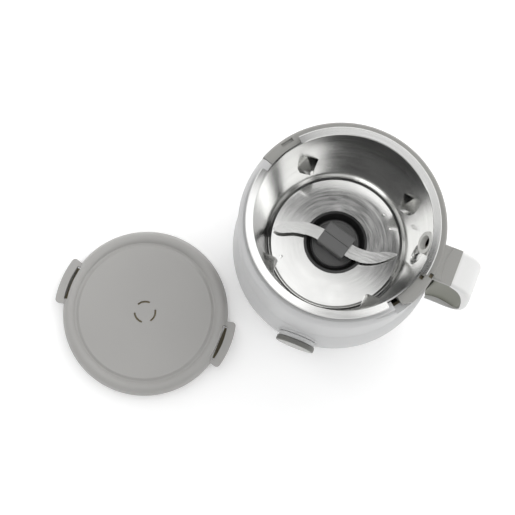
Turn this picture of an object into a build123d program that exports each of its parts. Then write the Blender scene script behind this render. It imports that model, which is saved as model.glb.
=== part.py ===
"""Baby food maker: a white motor and heater housing, a lift-out steel bowl with a
carrying handle, a lift-out blade cartridge, a rotary control and a bayonet lid.

Millimetres, +Z up.  The origin is on the table under the bowl's axis, +X points to
the handle and -Y to the control knob.  The lid lies on the table beside the housing.
"""
from build123d import *
import os
from math import cos, radians, sin

os.makedirs("parts", exist_ok=True)

# ---- driving dimensions -------------------------------------------------
RIM_Z = 172.0            # top of the bowl's flange
FLOOR_Z = 80.0           # inside floor of the bowl
MOUTH_R = 75.7           # inside radius of the bowl at its mouth
FLANGE_R = 82.5          # outside radius of the flange
FLANGE_FALL = 0.25       # the flange slopes down by this much towards its edge
FLOOR_R = 60.5           # flat part of the bowl's floor
STEEL = 0.9              # bowl sheet thickness
WALL_FOOT_R = 64.2       # inside wall just above the floor's step
WALL_FOOT_Z = 85.6
WALL_TOP_Z = 169.5
GAP_HALF = 14.5          # half width of a bayonet gap in the flange, degrees
GAP_CENTRES = (-26.6, 153.4)

SHELL_WALL = 2.6         # housing wall thickness
SEAM_Z = 91.0            # joint between the lower and the upper shell
SEAM_R = 89.4
BULGE_R = 95.5           # widest part of the lower shell
BULGE_Z = 54.0
FOOT_R = 86.0            # lower shell at its bottom edge
BASE_EDGE_Z = 3.0
LEDGE_Z = 157.0          # ledge of the upper shell that carries the bowl's collar
DECK_Z = 165.5           # top of the collar and of the white front deck
COLLAR_ARC = (-33.0, 161.5)
WELL_R = 79.6            # inside radius of the liner round the bowl
WELL_FLOOR_Z = 64.0

HANDLE_SHELL_HALF = 15.8 # half width of the handle at its top
HANDLE_FLARE = 0.0195    # how much wider each side gets per millimetre downwards
GRIP_INSET = 1.2         # olive grip stands this much inside the white shell's sides
SCOOP_R = 46.0           # finger scoop in each side of the grip
SCOOP_DEPTH = 2.4
ARM_END_X = 103.2        # grey arm meets the white handle shell
ARM_TOP_Z = 162.4

DIAL_Z = 66.0            # height of the control's axis
DIAL_R = 18.4
DIAL_FACE_R = 16.6       # button face inside the control ring
DIAL_FRONT_Y = -102.3

HUB_R = 29.4             # black hub well in the bowl's floor
DISC_R = 21.8            # grey disc of the blade cartridge
DISC_TOP_Z = 76.0
SPINDLE_R = 4.0
SLEEVE_R = 8.8
LOW_BLADE_Z = 87.0       # underside of the right blade
HIGH_BLADE_Z = 88.0      # underside of the left blade
BLADE_T = 1.6
GRIP_TURN = -15.0        # direction of the grip's long side, degrees

MOTOR_R = 27.0
MOTOR_Z = (15.0, 50.0)
SHAFT_R = 3.0
RUN = 0.05               # radial running clearance

LID_X = -147.5           # where the lid lies
LID_Y = -120.8
LID_R = 81.0
LID_EAR_R = 89.6
LID_TOP_Z = 17.0

INLET_Z = 40.0           # height of the power inlet
HEATER_RING_R = 45.0
HEATER_ENDS = (105, 435)
SCREW_ANGLES = (20, 160, 200, 340)
FOOT_CIRCLE = 66.0       # the outer feet stand on this radius
FOOT_ANGLES = (45, 135, 225, 315)
BRACKET_ANGLES = (90, 210, 330)
HANDLE_SCREW_X = 99.0
HANDLE_SCREW_YS = (-8.5, 8.5)

BAFFLE_ANGLES = (45, 135, 225, 315)
BAFFLE_DEPTH = 11.0
BAFFLE_Z = 120.0
BAFFLE_FOOT = ((-13, -3), (0, -19), (13, -3), (10, 13), (-10, 13))
BAFFLE_RIDGE = ((-1.5, -2), (0, -5), (1.5, -2), (1.2, 5), (-1.2, 5))
DIMPLES = ((52.0, 52.0), (52.0, 36.0), (52.0, -143.0))   # radius, direction
PORT_ANGLE = 9.5         # steam port in the bowl's wall
PORT_Z = 156.5
DENT_ANGLE = 5.2         # long dent in the wall below the port
DENT_Z = 131.0
DENT_HALVES = (5.2, 9.4, 20.0)
VENT_ARCS = (120.5, 240.5, 359.5)

# plan outlines of the blades, from the grip to the tip
RIGHT_EDGE_A = [(9, -9.2), (22.6, -11.0), (33.2, -9.2), (44.0, -4.0), (51.5, 2.4), (57.4, 8.8)]
RIGHT_EDGE_B = [(9, 3.2), (25.8, 1.2), (36.6, 3.0), (46.2, 7.2), (57.4, 8.8)]
LEFT_EDGE_A = [(-9, 5.2), (-22.8, 6.2), (-36.6, 4.2), (-47.8, -1.2), (-53.9, -6.2), (-57.6, -11.2)]
LEFT_EDGE_B = [(-9, -7.6), (-20.6, -5.2), (-30.8, -5.8), (-41.2, -8.4), (-49.6, -12.2), (-57.6, -11.2)]


# ---- helpers --------------------------------------------------------------
def save(shape, name):
    export_step(shape, f"parts/{name}.step")


def join(shapes):
    """Separate solids kept together in one node."""
    return Compound(children=list(shapes))


def outline(points):
    """Closed polygon in the XZ plane, given as (radius, height) points."""
    return Plane.XZ * make_face(Polyline(*points, close=True))


def spin(face, start=0.0, end=360.0):
    return Rot(0, 0, start) * revolve(face, Axis.Z, end - start)


def tube(r_out, r_in, z0, z1):
    ring = Pos(0, 0, z0) * extrude(Circle(r_out) - Circle(r_in), z1 - z0)
    return ring


def rod(r, z0, z1):
    return Pos(0, 0, z0) * extrude(Circle(r), z1 - z0)


def around(radius, angle, z=0.0):
    """A place on a circle about the bowl's axis, turned to face outwards."""
    return Rot(0, 0, angle) * Pos(radius, 0, z)


def sector(r_in, r_out, start, end):
    """Flat annular sector in the XY plane."""
    def at(r, a):
        return (r * cos(radians(a)), r * sin(radians(a)))
    mid = (start + end) / 2
    edges = [
        Line(at(r_in, start), at(r_out, start)),
        ThreePointArc(at(r_out, start), at(r_out, mid), at(r_out, end)),
        Line(at(r_out, end), at(r_in, end)),
        ThreePointArc(at(r_in, end), at(r_in, mid), at(r_in, start)),
    ]
    return make_face(Wire(edges))


def wall_r(z):
    """Inside radius of the bowl's wall at height z."""
    slope = (MOUTH_R - WALL_FOOT_R) / (WALL_TOP_Z - WALL_FOOT_Z)
    return WALL_FOOT_R + slope * (z - WALL_FOOT_Z)


def face_at_y(y):
    """Sketch plane facing the front (-Y) whose origin is on the control's axis."""
    return Plane(origin=(0, y, DIAL_Z), x_dir=(1, 0, 0), z_dir=(0, -1, 0))


# ---- housing --------------------------------------------------------------
def base_shell():
    t = SHELL_WALL
    bottom = (FOOT_R, BASE_EDGE_Z + 3)
    top = (SEAM_R, SEAM_Z - 0.25)
    outer = ThreePointArc(bottom, (BULGE_R, BULGE_Z), top)
    inner = ThreePointArc((SEAM_R - t, SEAM_Z - 0.25), (BULGE_R - t, BULGE_Z), (FOOT_R - t, BASE_EDGE_Z + 3))
    edges = [
        outer,
        Line(top, (SEAM_R - t, SEAM_Z - 0.25)),
        inner,
        Line((FOOT_R - t, BASE_EDGE_Z + 3), (FOOT_R - t, BASE_EDGE_Z)),
        Line((FOOT_R - t, BASE_EDGE_Z), (FOOT_R - 1.5, BASE_EDGE_Z)),
        ThreePointArc((FOOT_R - 1.5, BASE_EDGE_Z), (FOOT_R - 0.35, BASE_EDGE_Z + 0.9), bottom),
    ]
    shell = spin(Plane.XZ * make_face(Wire(edges)))
    # raised round boss behind the control, blended into the bulge
    boss = extrude(face_at_y(-80) * Circle(DIAL_R + 0.8), 13.0)
    inside = spin(outline([(0, BASE_EDGE_Z), (FOOT_R - t, BASE_EDGE_Z + 3), (92.4, 36), (BULGE_R - t, BULGE_Z),
                           (91.9, 72), (SEAM_R - t, SEAM_Z), (0, SEAM_Z)]))
    shell = shell + (boss - inside)
    shell -= extrude(face_at_y(-70) * Circle(14.2), 40)
    shell -= extrude(face_at_y(-93.3) * Circle(DIAL_R - 0.8), 10)
    shell -= Pos(0, 92, INLET_Z) * Box(25.0, 16, 17.4)
    for x in (-28, 28):
        for row in range(4):
            shell -= Pos(x, 90, 16 + row * 5) * Box(18, 20, 2)
    return shell


def upper_shell():
    t = SHELL_WALL
    low = SEAM_Z + 0.25
    skirt = outline([(SEAM_R - t, low), (SEAM_R, low), (89.0, 148), (88.7, LEDGE_Z), (81.9, LEDGE_Z),
                     (81.9, LEDGE_Z - 2), (88.7 - t, LEDGE_Z - 6)])
    shell = spin(skirt)
    deck = [
        Line((77.6, DECK_Z), (84.6, DECK_Z)),
        ThreePointArc((84.6, DECK_Z), (87.4, DECK_Z - 2.6), (88.7, LEDGE_Z - 0.5)),
        Line((88.7, LEDGE_Z - 0.5), (81.9, LEDGE_Z - 0.5)),
        Line((81.9, LEDGE_Z - 0.5), (81.9, DECK_Z - 3)),
        Line((81.9, DECK_Z - 3), (77.6, DECK_Z - 3)),
        Line((77.6, DECK_Z - 3), (77.6, DECK_Z)),
    ]
    front = spin(Plane.XZ * make_face(Wire(deck)), COLLAR_ARC[1] + 0.35, COLLAR_ARC[0] + 360 - 5.0)
    shell += front
    # lug pocket in the deck and the groove that tapers away from it
    start = COLLAR_ARC[0] - 5.0
    for step in range(6):
        wide = 2.4 * (1 - step / 6)
        at = around(86.6 - 0.15 * step, start - 1.2 - 1.9 * step, DECK_Z - 1.0)
        shell -= at * Box(wide, 3.4, 3.4 - 0.3 * step)
    return shell


def inner_well():
    cup = spin(outline([(14, WELL_FLOOR_Z), (WELL_R + 1.8, WELL_FLOOR_Z), (WELL_R + 1.8, 150.6), (84.0, 150.6),
                        (84.0, 152.4), (WELL_R, 152.4), (WELL_R, WELL_FLOOR_Z + 2.2), (14, WELL_FLOOR_Z + 2.2)]))
    seat = tube(61.5, 58.2, WELL_FLOOR_Z + 2.2, 73.6)
    cup += seat
    for angle in HEATER_ENDS:
        cup -= around(HEATER_RING_R, angle) * rod(2.0, WELL_FLOOR_Z - 1, WELL_FLOOR_Z + 4)
    return cup


def base_plate():
    plate = rod(FOOT_R - SHELL_WALL - 0.3, BASE_EDGE_Z, BASE_EDGE_Z + 2.4)
    for angle in SCREW_ANGLES:
        post = around(74, angle, BASE_EDGE_Z) * extrude(Circle(4.4), 14)
        plate += post
        plate -= around(74, angle, BASE_EDGE_Z) * extrude(Circle(2.2), 14)
        plate -= around(74, angle, BASE_EDGE_Z) * extrude(Circle(3.7), 1.5)
    for angle in range(0, 360, 30):
        plate -= around(40, angle, BASE_EDGE_Z) * Pos(0, 0, 1) * Box(16, 3, 8)
    for place in foot_places():
        plate -= place * rod(3.0, BASE_EDGE_Z, BASE_EDGE_Z + 3)
    return plate


def foot_places():
    """Four feet near the edge and one under the motor."""
    return [Pos(0, 0, 0)] + [around(FOOT_CIRCLE, angle) for angle in FOOT_ANGLES]


def rubber_feet():
    pad = fillet(rod(8.0, 0, BASE_EDGE_Z).edges().group_by(Axis.Z)[0], 1.0)
    foot = pad + rod(2.95, BASE_EDGE_Z, BASE_EDGE_Z + 2.4)
    return join(place * foot for place in foot_places())


def screw(length, r=1.9, head_r=3.5, head=1.3):
    """Pan-head screw standing on its head at the origin, thread upwards."""
    body = rod(head_r, 0, head) + rod(r, head, length)
    return body - Box(0.9, head_r * 1.3, 1.2) - Box(head_r * 1.3, 0.9, 1.2)


def base_screws():
    return join(around(74, angle, BASE_EDGE_Z + 0.1) * screw(13) for angle in SCREW_ANGLES)


def heater_plate():
    return tube(60.4, 33.0, 73.7, 78.3)


def heater_ring():
    section = Plane.XZ * Pos(HEATER_RING_R, 70.4) * Circle(3.2)
    ring = spin(section, HEATER_ENDS[0] - 2, HEATER_ENDS[1] + 2)
    for angle in HEATER_ENDS:
        ring += around(HEATER_RING_R, angle) * rod(1.2, 60.0, 69.0)
    return ring


def thermostat():
    return Rot(0, 0, 200) * Pos(48, 0, 57.4) * (Cylinder(8, 9) + Pos(0, 0, 4.5) * Cylinder(5.5, 4))


def thermal_fuse():
    body = Rot(0, 0, 320) * Pos(52, 0, 60.5) * Rot(90, 0, 0) * Cylinder(2.2, 18)
    return body


def dial_bezel():
    ring = extrude(face_at_y(-86) * (Circle(14.0) - Circle(8.2)), 11.2)
    collar = extrude(face_at_y(-93.4) * (Circle(DIAL_R - 1.0) - Circle(8.2)), 3.8)
    tick = Pos(0, -95.3, DIAL_Z) * Rot(0, 24, 0) * Pos(0, 0, DIAL_R - 0.9) * Box(1.6, 3.4, 0.8)
    return ring + collar + tick


def switch_board():
    board = extrude(face_at_y(-84.2) * Circle(15.4), 1.4)
    return board - extrude(face_at_y(-84.2) * Pos(0, -11) * Circle(1.6), 1.4)


def tact_switch():
    body = Pos(0, -87.1, DIAL_Z) * Box(6, 2.8, 6)
    return body + extrude(face_at_y(-88.4) * Circle(1.7), 0.7)


def control_board():
    board = Pos(0, -66, 34) * Box(64, 1.6, 40)
    chips = Pos(-16, -67.8, 36) * Box(12, 2, 12)
    relay = Pos(14, -70.8, 30) * Box(16, 8, 14)
    capacitor = Pos(-16, -71.2, 22) * Rot(90, 0, 0) * Cylinder(5, 8.8)
    return board + chips + relay + capacitor


def power_inlet():
    body = Pos(0, 84.5, INLET_Z) * Box(24.6, 21, 17.0)
    flange = Pos(0, 92.4, INLET_Z) * Box(24.6, 2.6, 17.0)
    socket = Pos(0, 90.2, INLET_Z) * Box(20.4, 16, 12.8)
    pins = [Pos(x, 84.5, INLET_Z) * Box(2, 10, 4) for x in (-5, 5)]
    return body + flange - socket + pins[0] + pins[1]


# ---- motor ----------------------------------------------------------------
def motor_can():
    z0, z1 = MOTOR_Z
    can = rod(MOTOR_R, z0, z1) - rod(MOTOR_R - 1.5, z0 + 1.5, z1 - 1.5)
    can += rod(8.5, z0 - 3, z0)
    can += rod(8.5, z1, z1 + 2)
    can -= rod(6.0, z0 - 3, z1 + 2)
    for angle in range(0, 360, 60):
        can -= around(MOTOR_R, angle, z0 + 9) * Box(8, 9, 10)
    for angle in BRACKET_ANGLES:
        can -= around(18, angle) * rod(2.0, z1 - 3, z1 + 1)
    return can


def stator_magnets():
    faces = [sector(22.0, MOTOR_R - 1.5, a, a + 120) for a in (-60, 120)]
    return join(Pos(0, 0, 26) * extrude(face, 18) for face in faces)


def bearing(z0, z1):
    return tube(6.0, SHAFT_R + RUN, z0, z1)


def rotor_core():
    core = rod(20.8, 20, 43) - rod(SHAFT_R, 20, 43)
    for angle in range(0, 360, 30):
        core -= around(17.6, angle, 31.5) * Box(8, 3.2, 30)
    return core


def commutator():
    drum = tube(7.5, SHAFT_R, 44.0, 47.6)
    for angle in range(0, 360, 30):
        drum -= around(7.5, angle, 45.8) * Box(1.2, 0.5, 6)
    return drum


def cooling_fan():
    fan = tube(6.5, SHAFT_R, 7.6, 11.6) + tube(24, 6.4, 10.6, 11.6)
    for angle in range(0, 360, 30):
        fan += around(15, angle, 9.2) * Rot(0, 0, 18) * Box(16, 1.2, 3)
    return fan


def motor_bracket():
    z1 = MOTOR_Z[1]
    plate = rod(40, z1 + 0.1, z1 + 2.3) - rod(8.8, z1 + 0.1, z1 + 2.3)
    for angle in BRACKET_ANGLES:
        plate += around(36, angle, BASE_EDGE_Z + 2.4) * extrude(Circle(3.6), z1 - 5.2)
        plate -= around(18, angle, z1) * extrude(Circle(2.0), 3)
    return plate


def motor_screws():
    top = MOTOR_Z[1] + 2.3 + 1.3
    return join(around(18, angle, top) * Rot(180, 0, 0) * screw(5.0, 1.9, 3.2) for angle in BRACKET_ANGLES)


def drive_dog():
    flats = extrude(Pos(0, 0, 57.0) * RegularPolygon(5.0, 6), 5.0)
    return rod(7.6, 54.2, 57.0) + flats - rod(SHAFT_R, 54.2, 59.0)


# ---- bowl -----------------------------------------------------------------
def bowl_envelope(t):
    """Solid of revolution of the bowl's outside (t = sheet) or inside (t = 0)."""
    top = RIM_Z if t == 0 else RIM_Z - 0.4
    points = [
        (0, FLOOR_Z - t),
        (FLOOR_R - 1.0, FLOOR_Z - t),
        (FLOOR_R + 1.0 + t * 0.6, FLOOR_Z + 2.4 - t * 0.8),
        (FLOOR_R + 1.6 + t * 0.6, FLOOR_Z + 3.6 - t * 0.8),
        (WALL_FOOT_R + t * 0.8, WALL_FOOT_Z - t),
        (MOUTH_R + t, WALL_TOP_Z),
        (MOUTH_R + t, top),
        (0, top),
    ]
    body = outline(points)
    soft = [v for v in body.vertices() if FLOOR_Z + 1 < v.Z < WALL_FOOT_Z + 1]
    return spin(fillet(soft, 0.8), 90, 450)


def baffle(angle, inset):
    """Faceted wedge that stands into the bowl from its wall."""
    base = Plane(origin=(0, 0, 0), x_dir=(0, 1, 0), z_dir=(-1, 0, 0))
    foot = base * Polygon(*BAFFLE_FOOT, align=None)
    ridge = base.offset(BAFFLE_DEPTH) * Polygon(*BAFFLE_RIDGE, align=None)
    solid = loft([foot, ridge])
    return around(wall_r(BAFFLE_Z) + 1.8 + inset, angle, BAFFLE_Z) * Rot(0, 8, 0) * solid


def port_axis():
    """Frame on the wall at the steam port, its Z pointing into the bowl and a little up."""
    return around(wall_r(PORT_Z) - 0.2, PORT_ANGLE, PORT_Z) * Rot(0, -64, 0)


def steel_bowl():
    outer = bowl_envelope(STEEL)
    inner = bowl_envelope(0)
    for angle in BAFFLE_ANGLES:
        outer -= baffle(angle, 1.2)
        inner -= baffle(angle, 0)
    dent = around(wall_r(DENT_Z), DENT_ANGLE, DENT_Z) * Rot(0, 8, 0)
    outer += dent * scale(Sphere(1), tuple(half + STEEL for half in DENT_HALVES))
    inner += dent * scale(Sphere(1), DENT_HALVES)
    outer += port_axis() * rod(10.9, -STEEL, 12)
    inner += port_axis() * rod(10.0, 0, 12)
    bowl = outer - inner
    bowl -= rod(HUB_R - 2.6, FLOOR_Z - 5, FLOOR_Z + 2)
    bowl -= port_axis() * Cylinder(8.1, 30)
    lip = outline([(MOUTH_R, RIM_Z - 2.5), (MOUTH_R, RIM_Z - 0.3), (MOUTH_R + 0.3, RIM_Z),
                   (FLANGE_R - 0.8, RIM_Z - FLANGE_FALL), (FLANGE_R, RIM_Z - 0.8 - FLANGE_FALL), (FLANGE_R, RIM_Z - 2.6),
                   (FLANGE_R - STEEL, RIM_Z - 2.6), (FLANGE_R - STEEL, RIM_Z - STEEL - FLANGE_FALL),
                   (MOUTH_R + STEEL, RIM_Z - STEEL), (MOUTH_R + STEEL, RIM_Z - 2.5)])
    ring = spin(lip)
    kept = []
    for centre in GAP_CENTRES:
        span = sector(MOUTH_R - 1, FLANGE_R + 1, centre + GAP_HALF, centre + 180 - GAP_HALF)
        tips = span.vertices().sort_by(lambda v: v.X ** 2 + v.Y ** 2)[2:]
        kept.append(Pos(0, 0, RIM_Z - 4) * extrude(fillet(tips, 3.2), 6))
    bead = tube(MOUTH_R + 1.3, MOUTH_R, RIM_Z - 2.5, RIM_Z - 0.25)
    for radius, angle in DIMPLES:
        bowl -= around(radius, angle, FLOOR_Z + 3.2) * Sphere(3.6)
    return bowl + (ring & (kept[0] + kept[1])) + bead


def collar_profile():
    top = DECK_Z
    low = LEDGE_Z + 0.4
    shape = outline([(77.2, low), (77.2, top), (86.9, top), (88.5, top - 1.6), (88.9, low),
                     (86.4, low), (86.2, top - 3.0), (79.4, top - 3.0), (79.4, low)])
    return shape


def rear_collar():
    start, end = COLLAR_ARC
    ring = spin(collar_profile(), start, end)
    arm = Pos(94.5, 0, 0) * extrude(Pos(0, 0, ARM_TOP_Z - 5) * Rectangle(17.4, 2 * HANDLE_SHELL_HALF), 5)
    rest = Pos(0, 0, ARM_TOP_Z) * extrude(thumb_rest(), 1.4, taper=40)
    collar = ring + arm + rest
    # lug pocket beside each bayonet gap and the latch window at the handle
    collar -= around(84.0, 145.5, DECK_Z) * Box(3.2, 11.0, 4.4)
    collar -= around(80.0, -13.6, DECK_Z) * Box(3.4, 3.6, 20)
    collar -= around(86.2, -9.8, DECK_Z) * Box(3.2, 4.2, 20)
    collar -= port_axis() * rod(11.4, -8, 14)
    for y in HANDLE_SCREW_YS:
        collar -= Pos(HANDLE_SCREW_X, y, 0) * rod(1.6, 150, ARM_TOP_Z - 1.2)
    # the free end is cut back to a rounded tip
    tip = around(88.9, start + 2.0, DECK_Z - 4) * Rot(0, 0, -22) * Box(5.2, 16, 12)
    return collar - tip


def thumb_rest():
    """Raised crescent across the arm, where the thumb lies."""
    half = HANDLE_SHELL_HALF
    edges = [
        Line((86.6, -half), (95.0, -half)),
        ThreePointArc((95.0, -half), (92.4, 0), (95.0, half)),
        Line((95.0, half), (86.6, half)),
        Line((86.6, half), (86.6, -half)),
    ]
    return make_face(Wire(edges))


def handle_width(inset):
    """Block that gives the handle its width, a little wider at the bottom than at the top."""
    low, high = 60.0, ARM_TOP_Z
    top = HANDLE_SHELL_HALF - inset
    bottom = top + HANDLE_FLARE * (high - low)
    section = Polygon((-bottom, low), (bottom, low), (top, high), (-top, high), align=None)
    return Pos(80, 0, 0) * extrude(Plane.YZ * section, 60)


def handle_shell():
    """White cover over the back of the handle, drawn from the front and given its width."""
    outer = Spline((ARM_END_X, 161.6), (113.5, 158.2), (121.8, 147.5), (127.2, 126), (129.8, 102),
                   (129.6, 86), (124.6, 76), (113, 73.4), (94.6, 73.8))
    split = Spline((ARM_END_X, 156.8), (110.2, 150.4), (117.4, 135), (122.4, 114), (125.0, 96),
                   (124.6, 84.5), (119.6, 78.6), (111, 77.4), (94.6, 77.8))
    face = Plane.XZ * make_face(Wire([
        outer,
        Line((94.6, 73.8), (94.6, 77.8)),
        split,
        Line((ARM_END_X, 156.8), (ARM_END_X, 161.6)),
    ]))
    shell = extrude(face, 2 * HANDLE_SHELL_HALF, both=True) & handle_width(0)
    long_edges = [e for e in shell.edges() if e.length > 100]
    outer_edges = sorted(long_edges, key=lambda e: -e.length)[:2]
    return fillet(outer_edges, 3.0)


def handle_liner():
    """Olive grip that fills the handle between the white shell and the housing, scooped for the fingers."""
    top = ARM_TOP_Z - 5.2
    end = ARM_END_X - 0.2
    back = Spline((end, 156.6), (109.9, 150.2), (117.1, 134.9), (122.1, 114), (124.7, 96),
                  (124.3, 84.7), (119.5, 78.9), (111, 77.7), (93.9, 78.1))
    face = make_face(Wire([
        Spline((93.9, 78.1), (92.8, 86), (91.4, 96), (90.6, 108)),
        Line((90.6, 108), (90.6, top)),
        Line((90.6, top), (end, top)),
        Line((end, top), (end, 156.6)),
        back,
    ]))
    grip = extrude(Plane.XZ * face, 2 * HANDLE_SHELL_HALF, both=True) & handle_width(GRIP_INSET)
    for side in (-1, 1):
        axis_y = side * (HANDLE_SHELL_HALF - GRIP_INSET + 0.8 + SCOOP_R - SCOOP_DEPTH)
        grip -= Pos(106, axis_y, 0) * rod(SCOOP_R, 60, 152)
    for y in HANDLE_SCREW_YS:
        grip -= Pos(HANDLE_SCREW_X, y, 0) * (rod(2.8, 140, 152.6) + rod(1.6, 150, ARM_TOP_Z))
    return grip


def handle_screws():
    return join(Pos(HANDLE_SCREW_X, y, 151.2) * screw(9.6, 1.5, 2.6) for y in HANDLE_SCREW_YS)


def port_grommet():
    ring = Circle(9.8) - Circle(6.4)
    head = port_axis() * Pos(0, 0, 0.05) * extrude(ring, 2.4)
    neck = port_axis() * Pos(0, 0, -2.6) * extrude(Circle(7.9) - Circle(6.4), 2.9)
    return head + neck


def hub_well():
    cup = outline([(9.1, 68.4), (26.6, 68.4), (26.6, FLOOR_Z + 0.02), (HUB_R, FLOOR_Z + 0.02),
                   (HUB_R, FLOOR_Z + 0.9), (HUB_R - 2.4, FLOOR_Z + 1.4), (24.2, DISC_TOP_Z - 1.5),
                   (23.0, 72.2), (9.1, 72.2)])
    return spin(cup)


def hub_nut():
    nut = tube(31.5, 26.75, 74.2, 79.0)
    for angle in range(0, 360, 45):
        nut -= around(31.5, angle, 76.6) * Box(2.4, 5, 8)
    return nut


# ---- blade cartridge --------------------------------------------------------
def cartridge_disc():
    bore = SPINDLE_R + 2.5
    body = outline([(bore, 67.0), (SLEEVE_R, 67.0), (SLEEVE_R, 72.4), (DISC_R - 1.0, 72.4), (DISC_R, 73.2),
                    (DISC_R, DISC_TOP_Z - 0.5), (DISC_R - 0.5, DISC_TOP_Z), (DISC_R - 1.6, DISC_TOP_Z),
                    (DISC_R - 2.0, DISC_TOP_Z - 0.5), (bore, DISC_TOP_Z - 0.5)])
    return spin(body)


def spindle_bush():
    return tube(SPINDLE_R + 2.5, SPINDLE_R + RUN, 67.0, 75.4)


def cartridge_seal():
    return tube(22.7, 21.85, 73.4, 74.8)


def blade_spindle():
    return rod(SPINDLE_R, 62.4, 88.0)


def blade_grip():
    half_l = 14.0
    half_w = 10.8
    section = Polygon((-half_w, 77.2), (half_w, 77.2), (half_w, 92.6), (half_w - 1.0, 93.8), (0.8, 93.8),
                      (0.2, 92.6), (-half_w + 1.2, 90.4), (-half_w, 89.0), align=None)
    block = extrude(Plane.YZ * section, half_l, both=True)
    ends = rod(17.2, 77.2, 94)
    block = Rot(0, 0, GRIP_TURN) * (block & ends)
    block -= rod(SPINDLE_R, 77, 88.0)
    block -= blade(LOW_BLADE_Z, RIGHT_EDGE_A, RIGHT_EDGE_B)
    block -= blade(HIGH_BLADE_Z, LEFT_EDGE_A, LEFT_EDGE_B)
    return block


def blade(z, near_edge, far_edge):
    """Flat sickle blade: two curved edges that meet in a point."""
    edges = [
        Spline(*near_edge),
        Spline(*far_edge),
        Line(far_edge[0], near_edge[0]),
    ]
    return Pos(0, 0, z) * extrude(make_face(Wire(edges)), BLADE_T)


def driven_dog():
    body = rod(8.3, 58.2, 66.4)
    body -= extrude(Pos(0, 0, 58.2) * RegularPolygon(5.3, 6), 4.2)
    return body - rod(SPINDLE_R, 62.4, 66.4)


# ---- control ----------------------------------------------------------------
def dial_ring():
    depth = 5.0
    ring = extrude(face_at_y(DIAL_FRONT_Y + depth) * (Circle(DIAL_R) - Circle(DIAL_FACE_R + 0.3)), depth)
    ring = fillet(ring.edges().filter_by(GeomType.CIRCLE).group_by(SortBy.RADIUS)[-1], 1.4)
    back = extrude(face_at_y(DIAL_FRONT_Y + depth) * (Circle(DIAL_FACE_R + 0.6) - Circle(8.9)), 1.4)
    barrel = extrude(face_at_y(-88.2) * (Circle(8.2 - RUN) - Circle(6.6)), 10.0)
    collar = extrude(face_at_y(DIAL_FRONT_Y + depth) * (Circle(9.4) - Circle(6.6)), 1.4)
    return ring + back + barrel + collar


def dial_button():
    face = extrude(face_at_y(DIAL_FRONT_Y + 2.0) * Circle(DIAL_FACE_R), 2.2)
    face = fillet(face.edges().filter_by(GeomType.CIRCLE).sort_by(Axis.Y)[0], 0.6)
    stem = extrude(face_at_y(-90.4) * Circle(6.2), 10.0)
    return face + stem


# ---- lid --------------------------------------------------------------------
def lid_body():
    t = 2.0
    disc_r = 0.83 * LID_R
    outer = [
        Line((0, LID_TOP_Z - 1.6), (disc_r - 2.5, LID_TOP_Z - 1.6)),
        Line((disc_r - 2.5, LID_TOP_Z - 1.6), (disc_r, LID_TOP_Z - 2.8)),
        Line((disc_r, LID_TOP_Z - 2.8), (disc_r + 1.8, LID_TOP_Z - 2.6)),
        ThreePointArc((disc_r + 1.8, LID_TOP_Z - 2.6), (74.5, LID_TOP_Z), (LID_R - 1.2, LID_TOP_Z - 4.2)),
        ThreePointArc((LID_R - 1.2, LID_TOP_Z - 4.2), (LID_R - 0.2, LID_TOP_Z - 5.8), (LID_R, LID_TOP_Z - 7.6)),
        Line((LID_R, LID_TOP_Z - 7.6), (LID_R, 6.2)),
        Line((LID_R, 6.2), (LID_R - t, 6.2)),
        Line((LID_R - t, 6.2), (LID_R - t, LID_TOP_Z - 7.6)),
        Line((LID_R - t, LID_TOP_Z - 7.6), (74.0, LID_TOP_Z - 4.8)),
        Line((74.0, LID_TOP_Z - 4.8), (74.0, 0.0)),
        Line((74.0, 0.0), (72.0, 0.0)),
        Line((72.0, 0.0), (72.0, LID_TOP_Z - 4.8)),
        Line((72.0, LID_TOP_Z - 4.8), (0, LID_TOP_Z - 4.0)),
        Line((0, LID_TOP_Z - 4.0), (0, LID_TOP_Z - 1.6)),
    ]
    lid = spin(Plane.XZ * make_face(Wire(outer)))
    for side in (0, 180):
        lid += Rot(0, 0, side) * lid_ear()
        slot = sector(77.5, 81.6, side - 12.4, side + 12.4)
        lid -= Pos(0, 0, 4.0) * extrude(slot, LID_TOP_Z)
    for middle in VENT_ARCS:
        slit = sector(9.2, 11.1, middle - 36, middle + 36)
        slit = fillet(slit.vertices(), 0.9)
        lid -= Pos(0, 0, 5) * extrude(slit, LID_TOP_Z)
    return Pos(LID_X, LID_Y, 0) * lid


def lid_ear():
    """Bayonet ear: a flat tab, a skirt outside the flange and a lug that hooks under it."""
    flat = sector(78.0, LID_EAR_R, -15.6, 15.6)
    tips = flat.vertices().sort_by(lambda v: v.X ** 2 + v.Y ** 2)[2:]
    tab = Pos(0, 0, LID_TOP_Z - 7.4) * extrude(fillet(tips, 3.6), 3.0)
    skirt_face = sector(LID_EAR_R - 3.2, LID_EAR_R - 0.8, -13.4, 13.4)
    skirt = extrude(skirt_face, LID_TOP_Z - 7.0)
    lug = extrude(sector(79.2, LID_EAR_R - 1.0, -11.5, 11.5), 2.4)
    return tab + skirt + lug


def lid_seal():
    body = tube(75.2, 74.05, 2.0, 4.2) + tube(75.2, 74.05, 6.0, 8.2) + tube(74.4, 74.05, 1.6, 8.8)
    return Pos(LID_X, LID_Y, 0) * body


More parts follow.
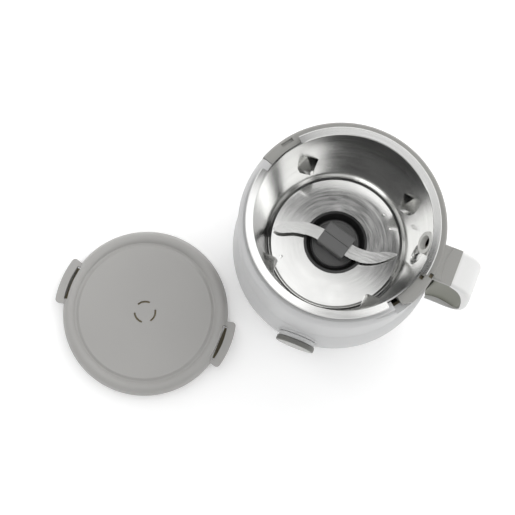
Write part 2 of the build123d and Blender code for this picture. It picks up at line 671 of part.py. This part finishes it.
# ---- every node and the function that makes it --------------------------------
NODES = {
    "base_shell": base_shell,
    "upper_shell": upper_shell,
    "inner_well": inner_well,
    "base_plate": base_plate,
    "rubber_feet": rubber_feet,
    "base_screws": base_screws,
    "heater_plate": heater_plate,
    "heater_ring": heater_ring,
    "thermostat": thermostat,
    "thermal_fuse": thermal_fuse,
    "dial_bezel": dial_bezel,
    "switch_board": switch_board,
    "tact_switch": tact_switch,
    "control_board": control_board,
    "power_inlet": power_inlet,
    "motor_can": motor_can,
    "stator_magnets": stator_magnets,
    "lower_bearing": lambda: bearing(MOTOR_Z[0] - 3, MOTOR_Z[0] + 1.5),
    "upper_bearing": lambda: bearing(MOTOR_Z[1] - 1.5, MOTOR_Z[1] + 2),
    "motor_bracket": motor_bracket,
    "motor_screws": motor_screws,
    "motor_shaft": lambda: rod(SHAFT_R, 7.6, 59.0),
    "rotor_core": rotor_core,
    "commutator": commutator,
    "cooling_fan": cooling_fan,
    "drive_dog": drive_dog,
    "steel_bowl": steel_bowl,
    "rear_collar": rear_collar,
    "handle_shell": handle_shell,
    "handle_liner": handle_liner,
    "handle_screws": handle_screws,
    "port_grommet": port_grommet,
    "hub_well": hub_well,
    "hub_nut": hub_nut,
    "cartridge_disc": cartridge_disc,
    "spindle_bush": spindle_bush,
    "cartridge_seal": cartridge_seal,
    "blade_spindle": blade_spindle,
    "blade_grip": blade_grip,
    "low_blade": lambda: blade(LOW_BLADE_Z, RIGHT_EDGE_A, RIGHT_EDGE_B),
    "high_blade": lambda: blade(HIGH_BLADE_Z, LEFT_EDGE_A, LEFT_EDGE_B),
    "driven_dog": driven_dog,
    "dial_ring": dial_ring,
    "dial_button": dial_button,
    "lid_body": lid_body,
    "lid_seal": lid_seal,
}

for node_name, build_node in NODES.items():
    save(build_node(), node_name)
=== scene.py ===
"""Finishes, studio and fine pieces of the baby food maker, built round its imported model.

Metres, +Z up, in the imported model's own frame: the origin is on the table under the
bowl's axis, +X points to the handle and -Y to the control knob.
"""
import math

import bpy
from mathutils import Matrix, Vector


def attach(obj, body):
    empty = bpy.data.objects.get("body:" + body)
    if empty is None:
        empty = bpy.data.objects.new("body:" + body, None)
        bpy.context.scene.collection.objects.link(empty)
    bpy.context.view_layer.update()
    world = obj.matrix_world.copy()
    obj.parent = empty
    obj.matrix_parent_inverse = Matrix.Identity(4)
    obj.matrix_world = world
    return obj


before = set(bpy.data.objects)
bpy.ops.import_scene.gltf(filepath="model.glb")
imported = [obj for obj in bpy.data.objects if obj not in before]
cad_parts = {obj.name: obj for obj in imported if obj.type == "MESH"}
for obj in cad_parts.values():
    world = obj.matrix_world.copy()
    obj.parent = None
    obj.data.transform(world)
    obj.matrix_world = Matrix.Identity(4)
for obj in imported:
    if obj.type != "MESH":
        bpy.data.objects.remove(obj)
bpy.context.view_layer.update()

MM = 0.001
TURN = 2 * math.pi


# ---- studio -----------------------------------------------------------------
CAMERA_PLACE = (0.002, -0.197, 1.009)
CAMERA_RIGHT = Vector((0.927, 0.375, 0.0))
CAMERA_UP = Vector((-0.369, 0.912, 0.179))
LENS = 71.5
PANEL_LEAN = (0.3, 1.0, 0.0)
ROOM_BANDS = [(-2.0, 0.54), (-1.0, 0.34), (-0.72, 0.05), (-0.38, 0.07), (-0.24, 1.0), (0.178, 1.0), (0.204, 0.25),
              (0.228, 0.01), (0.30, 0.02), (0.35, 0.58), (1.0, 0.64), (2.0, 0.62)]
CAMERA_SHADE = (0.06, 0.06, 1.0)
CAMERA_SHADE_STOPS = [(0.0, 1.0), (0.996, 1.0), (0.998, 0.35), (1.0, 0.30)]
ROOM_STRENGTH = 1.75
FLOOR_GLOW = 0.14


def studio_camera():
    data = bpy.data.cameras.new("studio_camera")
    data.lens = LENS
    data.sensor_width = 36.0
    data.clip_end = 20.0
    camera = bpy.data.objects.new("studio_camera", data)
    right = CAMERA_RIGHT.normalized()
    back = right.cross(CAMERA_UP).normalized()
    up = back.cross(right)
    camera.matrix_world = Matrix((
        (right.x, up.x, back.x, CAMERA_PLACE[0]),
        (right.y, up.y, back.y, CAMERA_PLACE[1]),
        (right.z, up.z, back.z, CAMERA_PLACE[2]),
        (0, 0, 0, 1),
    ))
    bpy.context.scene.collection.objects.link(camera)
    bpy.context.scene.camera = camera


def softbox(name, place, aim, width, height, power, tint=(1.0, 1.0, 1.0)):
    data = bpy.data.lights.new(name, "AREA")
    data.shape = "RECTANGLE"
    data.size = width
    data.size_y = height
    data.energy = power
    data.color = tint
    lamp = bpy.data.objects.new(name, data)
    lamp.location = place
    lamp.rotation_euler = (Vector(aim) - Vector(place)).to_track_quat("-Z", "Y").to_euler()
    bpy.context.scene.collection.objects.link(lamp)


def studio_world():
    """Room seen by the glossy parts: a wide overhead panel with a dark gap behind it, then paler walls.

    A direction's slope (how far it leans per metre of height) is measured along PANEL_LEAN.
    """
    world = bpy.data.worlds.new("studio_room")
    bpy.context.scene.world = world
    world.use_nodes = True
    tree = world.node_tree
    place = tree.nodes.new("ShaderNodeTexCoord").outputs["Generated"]

    def calc(kind, operation, *values):
        step = tree.nodes.new(kind)
        step.operation = operation
        for socket, value in zip(step.inputs, values):
            if isinstance(value, bpy.types.NodeSocket):
                tree.links.new(value, socket)
            else:
                socket.default_value = value
        return step.outputs["Value"]

    def ramp(source, stops):
        bands = tree.nodes.new("ShaderNodeValToRGB")
        while len(bands.color_ramp.elements) < len(stops):
            bands.color_ramp.elements.new(0.5)
        for stop, (at, grey) in zip(bands.color_ramp.elements, stops):
            stop.position = at
            stop.color = (grey, grey, grey, 1)
        tree.links.new(source, bands.inputs[0])
        return bands.outputs[0]

    lean = calc("ShaderNodeVectorMath", "DOT_PRODUCT", place, PANEL_LEAN)
    height = calc("ShaderNodeVectorMath", "DOT_PRODUCT", place, (0.0, 0.0, 1.0))
    slope = calc("ShaderNodeMath", "DIVIDE", lean, calc("ShaderNodeMath", "MAXIMUM", height, 0.02))
    along = calc("ShaderNodeMath", "MULTIPLY_ADD", slope, 0.25, 0.5)
    room = ramp(along, [(0.5 + 0.25 * at, grey) for at, grey in ROOM_BANDS])
    near_camera = calc("ShaderNodeVectorMath", "DOT_PRODUCT", place, Vector(CAMERA_SHADE).normalized())
    overhead = ramp(near_camera, CAMERA_SHADE_STOPS)
    both = tree.nodes.new("ShaderNodeMix")
    both.data_type = "RGBA"
    both.blend_type = "MULTIPLY"
    both.inputs["Factor"].default_value = 1.0
    tree.links.new(room, both.inputs["A"])
    tree.links.new(overhead, both.inputs["B"])
    tree.links.new(both.outputs["Result"], tree.nodes["Background"].inputs["Color"])
    tree.nodes["Background"].inputs["Strength"].default_value = ROOM_STRENGTH


def studio_floor():
    mesh = bpy.data.meshes.new("studio_floor")
    half = 6.0
    mesh.from_pydata([(-half, -half, 0), (half, -half, 0), (half, half, 0), (-half, half, 0)], [], [(0, 1, 2, 3)])
    floor = bpy.data.objects.new("studio_floor", mesh)
    bpy.context.scene.collection.objects.link(floor)
    paint = bpy.data.materials.new("studio_floor_paint")
    paint.use_nodes = True
    shader = paint.node_tree.nodes["Principled BSDF"]
    shader.inputs["Base Color"].default_value = (0.97, 0.97, 0.97, 1)
    shader.inputs["Roughness"].default_value = 0.9
    shader.inputs["Specular IOR Level"].default_value = 0.1
    shader.inputs["Emission Color"].default_value = (1.0, 1.0, 1.0, 1)
    shader.inputs["Emission Strength"].default_value = FLOOR_GLOW
    mesh.materials.append(paint)


studio_camera()
studio_world()
studio_floor()
softbox("key_softbox", (0.45, 1.45, 1.1), (0.0, 0.0, 0.05), 1.2, 1.2, 8.0)
softbox("right_softbox", (0.72, 0.42, 1.6), (0.0, 0.0, 0.05), 0.26, 0.5, 0.8)
softbox("left_fill", (-1.6, -0.7, 0.9), (-0.05, -0.05, 0.05), 1.0, 0.8, 1.5)
bpy.context.scene.view_settings.view_transform = "Standard"
bpy.context.scene.view_settings.look = "None"


# ---- finishes ---------------------------------------------------------------
class Finish:
    """A material under construction, with short calls for the nodes it needs."""

    def __init__(self, name):
        self.material = bpy.data.materials.new(name)
        self.material.use_nodes = True
        self.tree = self.material.node_tree
        self.shader = self.tree.nodes["Principled BSDF"]
        self.place = self.tree.nodes.new("ShaderNodeTexCoord").outputs["Object"]

    def set(self, **sockets):
        for name, value in sockets.items():
            self.shader.inputs[name.replace("_", " ")].default_value = value
        return self

    def wire(self, source, target):
        self.tree.links.new(source, target)

    def mapped(self, scale, source=None):
        mapping = self.tree.nodes.new("ShaderNodeMapping")
        mapping.inputs["Scale"].default_value = scale
        self.wire(source or self.place, mapping.inputs["Vector"])
        return mapping.outputs[0]

    def noise(self, scale, detail=2.0, roughness=0.5, vector=None):
        tex = self.tree.nodes.new("ShaderNodeTexNoise")
        tex.inputs["Scale"].default_value = scale
        tex.inputs["Detail"].default_value = detail
        tex.inputs["Roughness"].default_value = roughness
        self.wire(vector or self.place, tex.inputs["Vector"])
        return tex.outputs["Fac"]

    def wave(self, scale, distortion=0.0, direction="Z", vector=None):
        tex = self.tree.nodes.new("ShaderNodeTexWave")
        tex.bands_direction = direction
        tex.inputs["Scale"].default_value = scale
        tex.inputs["Distortion"].default_value = distortion
        self.wire(vector or self.place, tex.inputs["Vector"])
        return tex.outputs["Fac"]

    def math(self, operation, a, b=None, c=None):
        calc = self.tree.nodes.new("ShaderNodeMath")
        calc.operation = operation
        for socket, value in zip(calc.inputs, (a, b, c)):
            if value is None:
                continue
            if isinstance(value, (int, float)):
                socket.default_value = value
            else:
                self.wire(value, socket)
        return calc.outputs[0]

    def vector(self, operation, a, b=None):
        calc = self.tree.nodes.new("ShaderNodeVectorMath")
        calc.operation = operation
        for socket, value in zip(calc.inputs, (a, b)):
            if value is None:
                continue
            if isinstance(value, tuple):
                socket.default_value = value
            else:
                self.wire(value, socket)
        return calc.outputs[0] if operation != "LENGTH" else calc.outputs["Value"]

    def span(self, source, low, high, from_low=0.3, from_high=0.7):
        ranged = self.tree.nodes.new("ShaderNodeMapRange")
        for name, value in (("From Min", from_low), ("From Max", from_high), ("To Min", low), ("To Max", high)):
            ranged.inputs[name].default_value = value
        self.wire(source, ranged.inputs["Value"])
        return ranged.outputs["Result"]

    def blend(self, factor, dark, light):
        mix = self.tree.nodes.new("ShaderNodeMix")
        mix.data_type = "RGBA"
        self.wire(factor, mix.inputs["Factor"])
        for socket, value in ((mix.inputs["A"], dark), (mix.inputs["B"], light)):
            if isinstance(value, tuple):
                socket.default_value = value + (1.0,)
            else:
                self.wire(value, socket)
        return mix.outputs["Result"]

    def colour(self, source):
        self.wire(source, self.shader.inputs["Base Color"])
        return self

    def rough(self, source):
        self.wire(source, self.shader.inputs["Roughness"])
        return self

    def relief(self, height, distance, strength=1.0):
        bump = self.tree.nodes.new("ShaderNodeBump")
        bump.inputs["Strength"].default_value = strength
        bump.inputs["Distance"].default_value = distance
        self.wire(height, bump.inputs["Height"])
        self.wire(bump.outputs[0], self.shader.inputs["Normal"])
        return self


def shade(colour, factor):
    return tuple(min(1.0, c * factor) for c in colour)


def moulded(name, colour, rough, peel=0.000004, mottle=0.035, **extra):
    """Moulded plastic: slight colour drift, uneven gloss and the soft waviness of a moulded skin."""
    f = Finish(name)
    drift = f.noise(9.0, 1.0, 0.5)
    f.colour(f.blend(f.span(drift, 0.0, 1.0), shade(colour, 1 - mottle), shade(colour, 1 + mottle)))
    f.rough(f.span(f.noise(11.0, 0.0), rough - 0.015, rough + 0.02))
    f.relief(f.noise(30.0, 0.0), peel)
    return f.set(**extra).material


def turned_steel(name, colour, rough, anisotropy, centre=(0.0, 0.0, 0.0), streak=0.05, depth=0.000003):
    """Sheet steel brushed round the vertical axis, with hairlines that follow the turning."""
    f = Finish(name)
    local = f.vector("SUBTRACT", f.place, centre)
    parts = f.tree.nodes.new("ShaderNodeSeparateXYZ")
    f.wire(local, parts.inputs[0])
    flat = f.tree.nodes.new("ShaderNodeCombineXYZ")
    f.wire(parts.outputs["X"], flat.inputs["X"])
    f.wire(parts.outputs["Y"], flat.inputs["Y"])
    radius = f.vector("LENGTH", flat.outputs[0])
    ring = f.vector("NORMALIZE", flat.outputs[0])
    around = f.tree.nodes.new("ShaderNodeSeparateXYZ")
    f.wire(ring, around.inputs[0])
    lay = f.tree.nodes.new("ShaderNodeCombineXYZ")
    across = f.math("ADD", radius, f.math("MULTIPLY", parts.outputs["Z"], 0.83))
    f.wire(f.math("MULTIPLY", across, 420.0), lay.inputs["X"])
    f.wire(f.math("MULTIPLY", around.outputs["X"], 1.6), lay.inputs["Y"])
    f.wire(f.math("MULTIPLY", around.outputs["Y"], 1.6), lay.inputs["Z"])
    hairline = f.noise(1.0, 2.0, 0.6, lay.outputs[0])
    broad = f.noise(0.11, 3.0, 0.6, lay.outputs[0])
    patch = f.noise(22.0, 3.0, 0.6)
    tone = f.math("ADD", f.math("MULTIPLY", hairline, 0.6), f.math("MULTIPLY", broad, 0.4))
    f.colour(f.blend(f.span(tone, 0.0, 1.0, 0.36, 0.64), shade(colour, 1 - streak), shade(colour, 1 + streak)))
    f.rough(f.math("ADD", f.span(hairline, rough - 0.02, rough + 0.03), f.span(patch, -0.02, 0.04)))
    f.relief(hairline, depth, 0.3)
    tangent = f.vector("CROSS_PRODUCT", ring, (0.0, 0.0, 1.0))
    turn = f.tree.nodes.new("ShaderNodeVectorTransform")
    turn.vector_type = "VECTOR"
    turn.convert_from = "OBJECT"
    turn.convert_to = "WORLD"
    f.wire(tangent, turn.inputs[0])
    f.wire(turn.outputs[0], f.shader.inputs["Tangent"])
    return f.set(Metallic=1.0, Anisotropic=anisotropy, Anisotropic_Rotation=0.25).material


def drawn_steel(name, colour, rough, stretch, streak=0.12, depth=0.00001, **extra):
    """Flat ground or drawn metal: hairlines along one direction."""
    f = Finish(name)
    hairline = f.noise(1.0, 4.0, 0.7, f.mapped(stretch))
    patch = f.noise(40.0, 3.0, 0.55)
    f.colour(f.blend(f.span(hairline, 0.0, 1.0, 0.2, 0.8), shade(colour, 1 - streak), shade(colour, 1 + streak)))
    f.rough(f.math("ADD", f.span(hairline, rough - 0.05, rough + 0.08), f.span(patch, -0.03, 0.05)))
    f.relief(hairline, depth, 0.5)
    return f.set(Metallic=1.0, **extra).material


def circuit_board():
    """Green lacquered board with a faint pattern of tracks under it."""
    f = Finish("lacquered_board")
    grid = f.wave(260.0, 3.0, "X")
    tracks = f.math("GREATER_THAN", f.math("MULTIPLY", grid, f.noise(210.0, 0.0)), 0.36)
    f.colour(f.blend(tracks, (0.012, 0.085, 0.04), (0.03, 0.17, 0.08)))
    f.rough(f.span(f.noise(90.0), 0.3, 0.42))
    f.relief(tracks, 0.00004, 0.5)
    return f.material


def laminated_iron():
    """Stacked motor laminations: thin edges one over the other, with a bronze-dark tone."""
    f = Finish("laminated_iron")
    edges = f.wave(320.0, 0.0, "Z")
    f.colour(f.blend(edges, (0.12, 0.11, 0.10), (0.30, 0.28, 0.26)))
    f.rough(f.span(f.noise(160.0, 3.0), 0.38, 0.55))
    f.relief(edges, 0.00008, 0.7)
    return f.set(Metallic=1.0).material


def heat_tinted_steel():
    """Sheathed heating element: dull steel with straw and blue heat tints."""
    f = Finish("heat_tinted_steel")
    tint = f.noise(46.0, 3.0, 0.6)
    f.colour(f.blend(f.span(tint, 0.0, 1.0), (0.30, 0.24, 0.17), (0.36, 0.37, 0.42)))
    f.rough(f.span(f.noise(420.0, 3.0), 0.36, 0.5))
    f.relief(f.noise(900.0), 0.00003, 0.6)
    return f.set(Metallic=1.0).material


WARM_GREY = (0.362, 0.356, 0.345)

FINISHES = {
    "white_housing": moulded("white_housing_gloss", (0.54, 0.543, 0.545), 0.46, mottle=0.012),
    "white_handle": moulded("white_handle_gloss", (0.70, 0.70, 0.692), 0.4, mottle=0.012),
    "grey_liner": moulded("grey_liner_satin", (0.33, 0.33, 0.32), 0.55),
    # olive-brown that stands for the warm shade seen down slots, slits and holes: painted shade on the pieces set
    # there
    "olive_liner": moulded("olive_brown_painted_shade", (0.20, 0.17, 0.105), 0.55),
    "rubber": moulded("foot_rubber", (0.035, 0.035, 0.036), 0.78, 0.00005, 0.12),
    "screw_steel": drawn_steel("zinc_plated_screw", (0.55, 0.56, 0.57), 0.32, (700, 700, 120)),
    "aluminium": turned_steel("cast_aluminium_plate", (0.70, 0.71, 0.72), 0.38, 0.3),
    "element_steel": heat_tinted_steel(),
    "dark_plastic": moulded("dark_nylon", (0.03, 0.03, 0.032), 0.5, 0.00002, 0.15),
    "board": circuit_board(),
    "motor_steel": turned_steel("motor_can_steel", (0.42, 0.42, 0.43), 0.34, 0.3),
    "magnet": moulded("ferrite_magnet", (0.045, 0.045, 0.05), 0.6, 0.00006, 0.2),
    "bronze": turned_steel("bearing_bronze", (0.55, 0.36, 0.16), 0.3, 0.3),
    "rotor_iron": laminated_iron(),
    "bowl_steel": turned_steel("brushed_bowl_steel", (0.68, 0.68, 0.67), 0.12, 0.62, streak=0.06, depth=0.0000018),
    "grey_collar": moulded("warm_grey_collar", (0.285, 0.282, 0.268), 0.42),
    "olive_grip": moulded("olive_grip_satin", (0.135, 0.139, 0.105), 0.5),
    "white_silicone": moulded("white_silicone_satin", (0.72, 0.72, 0.69), 0.45, 0.000004, 0.03),
    "black_hub": moulded("black_hub_satin", (0.022, 0.022, 0.022), 0.36, 0.000004, 0.1),
    "grey_disc": moulded("grey_disc_satin", (0.11, 0.11, 0.109), 0.45, 0.000004, 0.08),
    "grey_grip": moulded("grey_grip_satin", (0.155, 0.155, 0.155), 0.5, 0.000004, 0.08),
    "blade_steel": drawn_steel("ground_blade_steel", (0.66, 0.66, 0.65), 0.17, (60, 500, 500), 0.03, 0.000001),
    "dial_grey": moulded("dial_ring_satin", (0.13, 0.13, 0.12), 0.36),
    "dial_face": moulded("dial_face_satin", (0.42, 0.42, 0.40), 0.38),
    "grey_lid": moulded("warm_grey_lid", WARM_GREY, 0.4),
}


def dress_nodes():
    """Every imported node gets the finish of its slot."""
    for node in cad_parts.values():
        for socket in node.material_slots:
            socket.material = FINISHES[socket.material.name]


# the imported materials carry the slot names, so they are read before they are replaced
dress_nodes()


# ---- fine pieces --------------------------------------------------------------
THREAD_RADIUS = 0.28 * MM
SOLDER_RADIUS = 0.8 * MM
LATCH_SLOTS = ((80.0, -13.6, 3.2), (86.2, -9.8, 3.6))    # radius, direction and width
# height of the olive tabs in the collar's slots, which are painted shade
SLOT_SHADE_HEIGHT = 160.4 * MM
DIAL_HEIGHT = 66.0 * MM
FACE_FRONT = -102.5 * MM
RING_FRONT = -102.2 * MM
RIM_FRONT = -102.15 * MM
SCREW_CIRCLE = 74.0 * MM
SHANK_RADIUS = 1.9 * MM
THREAD_LOW = 5.6 * MM
THREAD_HIGH = 15.6 * MM
BOARD_BACK = -65.2 * MM
BOARD_HEIGHT = 34.0 * MM
LID_X = -147.5 * MM
LID_Y = -120.8 * MM
VENT_SHADE_HEIGHT = 12.3 * MM
EAR_SHADE_HEIGHT = 2.8 * MM


class Rule:
    """A Geometry Nodes tree with named inputs, baked into a plain mesh piece."""

    def __init__(self, name, **given):
        self.name = name
        self.given = given
        self.tree = bpy.data.node_groups.new(name + "_rule", "GeometryNodeTree")
        for label, value in given.items():
            kind = "NodeSocketInt" if isinstance(value, int) else "NodeSocketFloat"
            kind = "NodeSocketVector" if isinstance(value, tuple) else kind
            self.tree.interface.new_socket(label, in_out="INPUT", socket_type=kind)
        self.tree.interface.new_socket("Geometry", in_out="OUTPUT", socket_type="NodeSocketGeometry")
        self.inputs = self.tree.nodes.new("NodeGroupInput").outputs

    def add(self, kind, operation=None, **sockets):
        node = self.tree.nodes.new(kind)
        if operation:
            node.operation = operation
        for label, value in sockets.items():
            self.join(value, node.inputs[label.replace("_", " ")])
        return node.outputs

    def join(self, value, socket):
        if isinstance(value, bpy.types.NodeSocket):
            self.tree.links.new(value, socket)
        else:
            socket.default_value = value

    def calc(self, operation, a, b=None):
        node = self.tree.nodes.new("ShaderNodeMath")
        node.operation = operation
        self.join(a, node.inputs[0])
        if b is not None:
            self.join(b, node.inputs[1])
        return node.outputs[0]

    def round_places(self, count, radius, start, step):
        """Points on a circle and the turn of each one."""
        turn = self.calc("ADD", self.calc("MULTIPLY", self.add("GeometryNodeInputIndex")[0], step), start)
        x = self.calc("MULTIPLY", self.calc("COSINE", turn), radius)
        y = self.calc("MULTIPLY", self.calc("SINE", turn), radius)
        spot = self.add("ShaderNodeCombineXYZ", X=x, Y=y)[0]
        points = self.add("GeometryNodePoints", Count=count, Position=spot)[0]
        angles = self.add("ShaderNodeCombineXYZ", Z=turn)[0]
        return points, self.add("FunctionNodeEulerToRotation", Euler=angles)[0]

    def repeat(self, points, shape, turns):
        return self.add("GeometryNodeInstanceOnPoints", Points=points, Instance=shape, Rotation=turns)[0]

    def bake(self, shape, slot, body, place=None):
        whole = self.add("GeometryNodeRealizeInstances", Geometry=shape)[0]
        painted = self.add("GeometryNodeSetMaterial", Geometry=whole, Material=FINISHES[slot])[0]
        self.tree.links.new(painted, self.tree.nodes.new("NodeGroupOutput").inputs[0])
        piece = bpy.data.objects.new(self.name, bpy.data.meshes.new(self.name))
        bpy.context.scene.collection.objects.link(piece)
        modifier = piece.modifiers.new("rule", "NODES")
        modifier.node_group = self.tree
        for item in self.tree.interface.items_tree:
            if item.in_out == "INPUT":
                modifier[item.identifier] = self.given[item.name]
        grown = piece.evaluated_get(bpy.context.evaluated_depsgraph_get())
        mesh = bpy.data.meshes.new_from_object(grown)
        piece.modifiers.remove(modifier)
        if place:
            mesh.transform(place)
        piece.data = mesh
        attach(piece, body)
        return piece


def raised(z, x=0.0, y=0.0):
    return Matrix.Translation((x, y, z))


def facing_front(y, z):
    """Stands a flat layout up against the control, its face to the front."""
    return Matrix.Translation((0, y, z)) @ Matrix.Rotation(TURN / 4, 4, "X")


def ring_of_bars(name, slot, body, place, count, radius, size, start=0.0, step=None):
    """Small bars set round a circle, each with its first size along the radius."""
    rule = Rule(name, Count=count, Radius=radius, Start=start, Step=step or TURN / count, Size=size)
    given = rule.inputs
    points, turns = rule.round_places(given["Count"], given["Radius"], given["Start"], given["Step"])
    bar = rule.add("GeometryNodeMeshCube", Size=given["Size"])[0]
    return rule.bake(rule.repeat(points, bar, turns), slot, body, place)


def fine_ring(name, slot, body, place, radius, thickness):
    """Thin round bead that follows a circle."""
    rule = Rule(name, Radius=radius, Thickness=thickness)
    path = rule.add("GeometryNodeCurvePrimitiveCircle", Resolution=72, Radius=rule.inputs["Radius"])[0]
    section = rule.add("GeometryNodeCurvePrimitiveCircle", Resolution=8, Radius=rule.inputs["Thickness"])[0]
    bead = rule.add("GeometryNodeCurveToMesh", Curve=path, Profile_Curve=section)[0]
    return rule.bake(bead, slot, body, place)


def screw_threads(name, slot, body, count, circle, start, step, radius, low, high, turns):
    """Coarse threads wound round the shank of every base screw."""
    rule = Rule(name, Count=count, Circle=circle, Start=start, Radius=radius, Height=high - low, Turns=turns)
    given = rule.inputs
    winding = rule.add("GeometryNodeCurveSpiral", Resolution=10, Rotations=given["Turns"],
                       Start_Radius=given["Radius"], End_Radius=given["Radius"], Height=given["Height"])[0]
    section = rule.add("GeometryNodeCurvePrimitiveCircle", Resolution=3, Radius=THREAD_RADIUS)[0]
    thread = rule.add("GeometryNodeCurveToMesh", Curve=winding, Profile_Curve=section, Fill_Caps=True)[0]
    points, around = rule.round_places(given["Count"], given["Circle"], given["Start"], step)
    return rule.bake(rule.repeat(points, thread, around), slot, body, raised(low))


def solder_joints(name, slot, body, place, columns, rows, pitch):
    """Solder beads in rows on the back of the control board."""
    rule = Rule(name, Columns=columns, Rows=rows, Width=pitch * (columns - 1), Depth=pitch * (rows - 1))
    given = rule.inputs
    grid = rule.add("GeometryNodeMeshGrid", Size_X=given["Width"], Size_Y=given["Depth"],
                    Vertices_X=given["Columns"], Vertices_Y=given["Rows"])[0]
    bead = rule.add("GeometryNodeMeshIcoSphere", Radius=SOLDER_RADIUS, Subdivisions=1)[0]
    beads = rule.add("GeometryNodeInstanceOnPoints", Points=grid, Instance=bead)[0]
    return rule.bake(beads, slot, body, place)


def slot_shade_tabs():
    """Olive tabs at the bottom of the collar's two slots: painted shade, dark pieces that stand in for the shade
    down the slots.
    """
    for number, (radius, angle, wide) in enumerate(LATCH_SLOTS):
        ring_of_bars(f"latch_tab_{number + 1}", "olive_liner", "bowl", raised(SLOT_SHADE_HEIGHT),
                     1, radius * MM, (3.0 * MM, wide * MM, 3.0 * MM), math.radians(angle), TURN)


button_face = facing_front(FACE_FRONT, DIAL_HEIGHT)
ring_of_bars("face_bars", "dial_grey", "button", button_face, 2, 1.1 * MM, (0.6 * MM, 2.6 * MM, 0.16 * MM))
ring_of_bars("side_marks", "dial_grey", "button", button_face, 2, 9.4 * MM, (1.5 * MM, 0.5 * MM, 0.12 * MM))
ring_of_bars("ring_pointer", "white_housing", "knob", facing_front(RING_FRONT, DIAL_HEIGHT), 1, 17.5 * MM,
             (1.2 * MM, 0.6 * MM, 0.3 * MM), TURN / 4, TURN)
fine_ring("knob_rim", "dial_face", "knob", facing_front(RIM_FRONT, DIAL_HEIGHT), 16.95 * MM, 0.2 * MM)
for pair, angle in enumerate((20, 160)):
    screw_threads(f"base_screw_threads_{pair + 1}", "screw_steel", "housing", 2, SCREW_CIRCLE, math.radians(angle),
                  TURN / 2, SHANK_RADIUS, THREAD_LOW, THREAD_HIGH, 7.0)
slot_shade_tabs()
solder_joints("solder_joints", "screw_steel", "housing", facing_front(BOARD_BACK, BOARD_HEIGHT), 10, 6, 5.4 * MM)
# painted shade: an olive ring under the lid's vent slits that stands in for the shade seen through them
fine_ring("vent_shade_ring", "olive_liner", "lid", raised(VENT_SHADE_HEIGHT, LID_X, LID_Y), 10.15 * MM, 1.7 * MM)
# painted shade: olive bars under the lid's ear slots that stand in for the shade seen through them
ring_of_bars("ear_slot_shade_bars", "olive_liner", "lid", raised(EAR_SHADE_HEIGHT, LID_X, LID_Y), 2, 79.3 * MM,
             (4.0 * MM, 32.0 * MM, 0.8 * MM))
